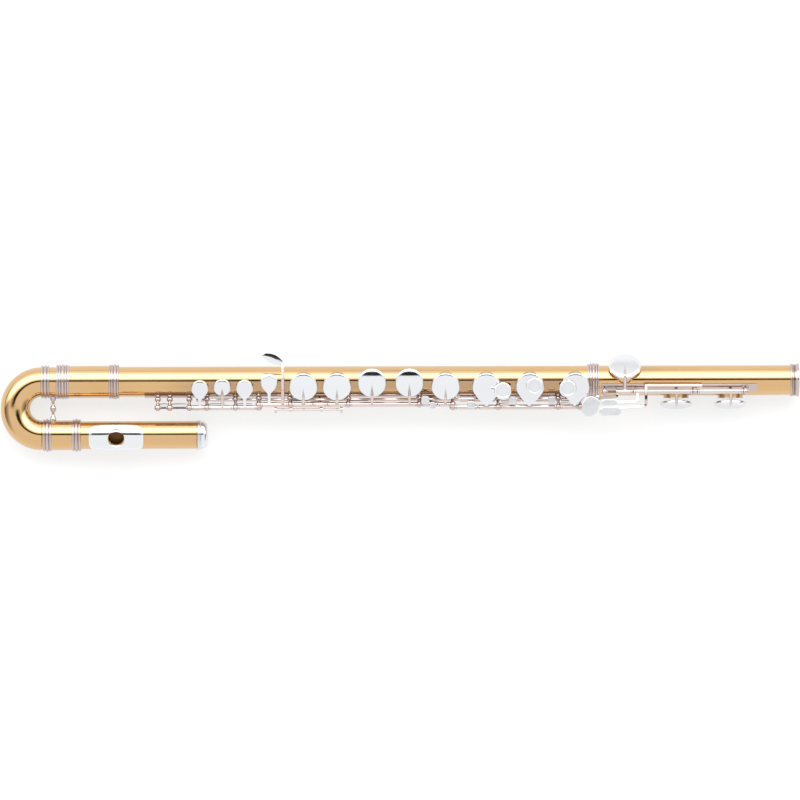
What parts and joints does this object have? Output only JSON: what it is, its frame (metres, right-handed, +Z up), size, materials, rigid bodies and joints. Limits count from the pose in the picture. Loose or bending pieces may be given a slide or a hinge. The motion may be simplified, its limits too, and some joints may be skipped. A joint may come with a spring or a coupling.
{
  "type": "alto flute",
  "caption": "Alto flute with a curved head joint: gold-lacquered tubes, silver-plated keywork on ribs and posts, and a low-C foot joint.",
  "frame": {"origin": "middle of the base of the whole instrument, on the surface it lies on", "axes": "+X along the body towards the foot end, +Y away from the player, +Z up out of the main key cups"},
  "size_m": [0.7186, 0.0912, 0.0424],
  "materials": {
    "gold_lacquer": "clear gold lacquer over polished brass",
    "silver_plate": "polished silver plate",
    "nickel_silver": "polished nickel silver",
    "steel": "ground steel",
    "pad_skin": "pale skin over felt",
    "cork": "raw cork"
  },
  "bodies": {
    "body": {"body_tube": "gold_lacquer", "barrel": "gold_lacquer", "body_ferrule": "nickel_silver", "left_hand_rib": "nickel_silver", "right_hand_rib": "nickel_silver", "upper_steel": "steel", "left_hand_steel": "steel", "right_hand_steel": "steel"},
    "head": {"u_bend": "gold_lacquer", "head_tenon": "gold_lacquer", "upper_leg_ring": "nickel_silver", "mouth_tube": "gold_lacquer", "mouth_socket": "gold_lacquer", "lip_plate": "silver_plate", "brace_post": "nickel_silver"},
    "crown": {"crown": "silver_plate"},
    "stopper": {"stopper_screw": "silver_plate", "head_cork": "cork"},
    "foot": {"foot_tube": "gold_lacquer", "foot_rib": "nickel_silver", "foot_end_ring": "nickel_silver", "foot_steel": "steel"},
    "d_sharp_trill_key": {"d_sharp_trill_key": "silver_plate", "d_sharp_trill_pad": "pad_skin"},
    "d_trill_key": {"d_trill_key": "silver_plate", "d_trill_pad": "pad_skin"},
    "c_vent_key": {"c_vent_key": "silver_plate", "c_vent_pad": "pad_skin"},
    "c_sharp_key": {"c_sharp_key": "silver_plate", "c_sharp_pad": "pad_skin"},
    "b_flat_key": {"b_flat_key": "silver_plate", "b_flat_pad": "pad_skin"},
    "thumb_key": {"thumb_key": "silver_plate", "thumb_pad": "pad_skin"},
    "a_key": {"a_key": "silver_plate", "a_pad": "pad_skin"},
    "g_key": {"g_key": "silver_plate", "g_upper_pad": "pad_skin", "g_lower_pad": "pad_skin"},
    "g_sharp_key": {"g_sharp_key": "silver_plate", "g_sharp_pad": "pad_skin"},
    "f_sharp_key": {"f_sharp_key": "silver_plate", "f_sharp_pad": "pad_skin"},
    "f_key": {"f_key": "silver_plate", "f_pad": "pad_skin"},
    "e_key": {"e_key": "silver_plate", "e_pad": "pad_skin"},
    "d_key": {"d_key": "silver_plate", "d_pad": "pad_skin"},
    "d_sharp_key": {"d_sharp_key": "silver_plate", "d_sharp_pad": "pad_skin"},
    "low_c_sharp_key": {"low_c_sharp_key": "silver_plate", "low_c_sharp_pad": "pad_skin"},
    "low_c_key": {"low_c_key": "silver_plate", "low_c_pad": "pad_skin"},
    "b_flat_lever": {"b_flat_lever": "silver_plate"},
    "d_trill_lever": {"d_trill_lever": "silver_plate"},
    "d_sharp_trill_lever": {"d_sharp_trill_lever": "silver_plate"}
  },
  "joints": [
    {"name": "head_tuning", "type": "slide", "parent": "body", "child": "head", "axis": [-1, 0, 0], "range_m": [0, 0.012]},
    {"name": "foot_turn", "type": "hinge", "parent": "body", "child": "foot", "pos_m": [0.17115, 0.01822, 0.016], "axis": [1, 0, 0], "range_deg": [-15, 15]},
    {"name": "crown_turn", "type": "hinge", "parent": "head", "child": "crown", "pos_m": [-0.18175, -0.02978, 0.016], "axis": [1, 0, 0], "range_deg": [-360, 360]},
    {"name": "stopper_slide", "type": "slide", "parent": "head", "child": "stopper", "axis": [1, 0, 0], "range_m": [-0.0008, 0.0008]},
    {"name": "c_vent_close", "type": "hinge", "parent": "body", "child": "c_vent_key", "pos_m": [-0.32175, -0.00538, 0.0261], "axis": [-1, 0, 0], "range_deg": [0, 8], "stiffness_Nm_per_rad": 0.03, "springref_deg": -22.92},
    {"name": "c_sharp_close", "type": "hinge", "parent": "body", "child": "c_sharp_key", "pos_m": [-0.32175, -0.00278, 0.0268], "axis": [-1, 0, 0], "range_deg": [0, 8], "stiffness_Nm_per_rad": 0.03, "springref_deg": -22.92},
    {"name": "b_flat_close", "type": "hinge", "parent": "body", "child": "b_flat_key", "pos_m": [-0.32175, -0.00278, 0.0268], "axis": [-1, 0, 0], "range_deg": [0, 8], "stiffness_Nm_per_rad": 0.03, "springref_deg": -22.92},
    {"name": "a_close", "type": "hinge", "parent": "body", "child": "a_key", "pos_m": [-0.32175, -0.00278, 0.0268], "axis": [-1, 0, 0], "range_deg": [0, 8], "stiffness_Nm_per_rad": 0.03, "springref_deg": -22.92},
    {"name": "g_close", "type": "hinge", "parent": "body", "child": "g_key", "pos_m": [-0.32175, -0.00278, 0.0268], "axis": [-1, 0, 0], "range_deg": [0, 8], "stiffness_Nm_per_rad": 0.03, "springref_deg": -22.92},
    {"name": "f_sharp_close", "type": "hinge", "parent": "body", "child": "f_sharp_key", "pos_m": [-0.32175, -0.00278, 0.0268], "axis": [-1, 0, 0], "range_deg": [0, 8], "stiffness_Nm_per_rad": 0.03, "springref_deg": -22.92},
    {"name": "f_close", "type": "hinge", "parent": "body", "child": "f_key", "pos_m": [-0.32175, -0.00538, 0.0261], "axis": [-1, 0, 0], "range_deg": [0, 8], "stiffness_Nm_per_rad": 0.03, "springref_deg": -22.92},
    {"name": "e_close", "type": "hinge", "parent": "body", "child": "e_key", "pos_m": [-0.32175, -0.00538, 0.0261], "axis": [-1, 0, 0], "range_deg": [0, 8], "stiffness_Nm_per_rad": 0.03, "springref_deg": -22.92},
    {"name": "d_close", "type": "hinge", "parent": "body", "child": "d_key", "pos_m": [-0.32175, -0.00538, 0.0261], "axis": [-1, 0, 0], "range_deg": [0, 8], "stiffness_Nm_per_rad": 0.03, "springref_deg": -22.92},
    {"name": "thumb_close", "type": "hinge", "parent": "body", "child": "thumb_key", "pos_m": [-0.32175, -0.00278, 0.0268], "axis": [1, 0, 0], "range_deg": [0, 8], "stiffness_Nm_per_rad": 0.03, "springref_deg": -22.92},
    {"name": "g_sharp_open", "type": "hinge", "parent": "body", "child": "g_sharp_key", "pos_m": [-0.32175, -0.00278, 0.0268], "axis": [-1, 0, 0], "range_deg": [0, 7], "stiffness_Nm_per_rad": 0.03, "springref_deg": -22.92},
    {"name": "d_trill_open", "type": "hinge", "parent": "body", "child": "d_trill_key", "pos_m": [-0.32175, -0.00538, 0.0261], "axis": [1, 0, 0], "range_deg": [0, 5.2], "stiffness_Nm_per_rad": 0.03, "springref_deg": -22.92},
    {"name": "d_sharp_trill_open", "type": "hinge", "parent": "body", "child": "d_sharp_trill_key", "pos_m": [-0.32175, -0.00538, 0.0261], "axis": [1, 0, 0], "range_deg": [0, 5.2], "stiffness_Nm_per_rad": 0.03, "springref_deg": -22.92},
    {"name": "d_trill_press", "type": "hinge", "parent": "body", "child": "d_trill_lever", "pos_m": [-0.32175, 0.00162, 0.0222], "axis": [1, 0, 0], "range_deg": [0, 14], "stiffness_Nm_per_rad": 0.03, "springref_deg": -22.92},
    {"name": "d_sharp_trill_press", "type": "hinge", "parent": "body", "child": "d_sharp_trill_lever", "pos_m": [-0.32175, 0.00162, 0.0222], "axis": [1, 0, 0], "range_deg": [0, 14], "stiffness_Nm_per_rad": 0.03, "springref_deg": -22.92},
    {"name": "b_flat_lever_press", "type": "hinge", "parent": "body", "child": "b_flat_lever", "pos_m": [-0.32175, -0.00538, 0.0261], "axis": [-1, 0, 0], "range_deg": [0, 7], "stiffness_Nm_per_rad": 0.03, "springref_deg": -22.92},
    {"name": "d_sharp_open", "type": "hinge", "parent": "foot", "child": "d_sharp_key", "pos_m": [-0.32175, 0.00812, 0.0356], "axis": [1, 0, 0], "range_deg": [0, 8], "stiffness_Nm_per_rad": 0.03, "springref_deg": -22.92},
    {"name": "low_c_sharp_close", "type": "hinge", "parent": "foot", "child": "low_c_sharp_key", "pos_m": [-0.32175, 0.00812, 0.0356], "axis": [1, 0, 0], "range_deg": [0, 11], "stiffness_Nm_per_rad": 0.03, "springref_deg": -22.92},
    {"name": "low_c_close", "type": "hinge", "parent": "foot", "child": "low_c_key", "pos_m": [-0.32175, 0.00812, 0.0356], "axis": [1, 0, 0], "range_deg": [0, 11], "stiffness_Nm_per_rad": 0.03, "springref_deg": -22.92}
  ],
  "couplings": [
    {"joint": "stopper_slide", "follows": "crown_turn", "m_per_rad": 0.000127},
    {"joint": "c_vent_close", "follows": "c_sharp_close", "ratio": 1},
    {"joint": "b_flat_close", "follows": "a_close", "ratio": 1},
    {"joint": "f_sharp_close", "follows": "f_close", "ratio": 1},
    {"joint": "d_trill_open", "follows": "d_trill_press", "ratio": 0.3636},
    {"joint": "d_sharp_trill_open", "follows": "d_sharp_trill_press", "ratio": 0.3636}
  ]
}
